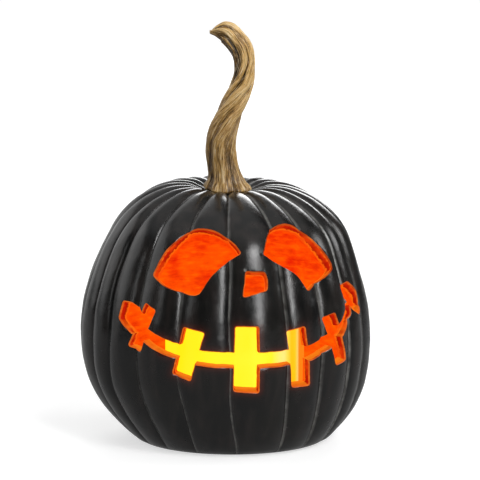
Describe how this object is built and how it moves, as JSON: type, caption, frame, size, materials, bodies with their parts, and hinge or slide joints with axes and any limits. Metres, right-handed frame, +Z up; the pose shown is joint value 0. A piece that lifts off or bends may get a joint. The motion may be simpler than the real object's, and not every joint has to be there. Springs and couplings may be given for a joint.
{
  "type": "light-up pumpkin figure",
  "caption": "Ribbed black-glazed pumpkin lantern with carved grinning face, orange inside, curved twisted stem and a drop-out battery light unit in its base.",
  "frame": {"origin": "on the ground, under the middle of the pumpkin's body", "axes": "+Z up, -Y the way the carved face looks, +X to the right of someone facing it"},
  "size_m": [0.2097, 0.2098, 0.2993],
  "materials": {
    "black_glaze": "satin",
    "stem_paint": "satin",
    "hardwood": "matte",
    "felt": "matte",
    "ivory_plastic": "satin",
    "silicone": "matte",
    "frosted_cover": "satin",
    "board_green": "satin",
    "black_plastic": "satin",
    "led_lens": "gloss",
    "zinc_steel": "satin",
    "cell_wrap": "satin",
    "red_insulation": "satin",
    "black_insulation": "satin"
  },
  "bodies": {
    "pumpkin": {"pumpkin_shell": "black_glaze", "stem": "stem_paint", "stem_dowel": "hardwood", "felt_pad_1": "felt", "felt_pad_2": "felt", "felt_pad_3": "felt", "felt_pad_4": "felt"},
    "light_unit": {"base_tray": "ivory_plastic", "grip_gasket": "silicone", "light_drum": "frosted_cover", "led_board": "board_green", "timer_chip": "black_plastic", "led_1": "led_lens", "led_2": "led_lens", "led_3": "led_lens", "led_4": "led_lens", "board_screw_1": "zinc_steel", "board_screw_2": "zinc_steel", "drum_screw_1": "zinc_steel", "drum_screw_2": "zinc_steel", "drum_screw_3": "zinc_steel", "battery_1": "cell_wrap", "battery_2": "cell_wrap", "battery_3": "cell_wrap", "contact_spring_1": "zinc_steel", "contact_spring_2": "zinc_steel", "contact_spring_3": "zinc_steel", "contact_button_1": "zinc_steel", "contact_button_2": "zinc_steel", "contact_button_3": "zinc_steel", "switch_case": "black_plastic", "switch_lead": "black_insulation", "red_lead": "red_insulation", "black_lead": "black_insulation", "door_hinge_pin": "zinc_steel"},
    "switch": {"switch_knob": "black_plastic"},
    "battery_door": {"battery_door": "ivory_plastic"}
  },
  "joints": [
    {"name": "light_unit_pull", "type": "slide", "parent": "pumpkin", "child": "light_unit", "axis": [0, 0, -1], "range_m": [0, 0.11]},
    {"name": "switch_slide", "type": "slide", "parent": "light_unit", "child": "switch", "axis": [1, 0, 0], "range_m": [0, 0.008]},
    {"name": "battery_door_hinge", "type": "hinge", "parent": "light_unit", "child": "battery_door", "pos_m": [0.0047, 0.0205, 0.0031], "axis": [1, 0, 0], "range_deg": [0, 95]}
  ]
}
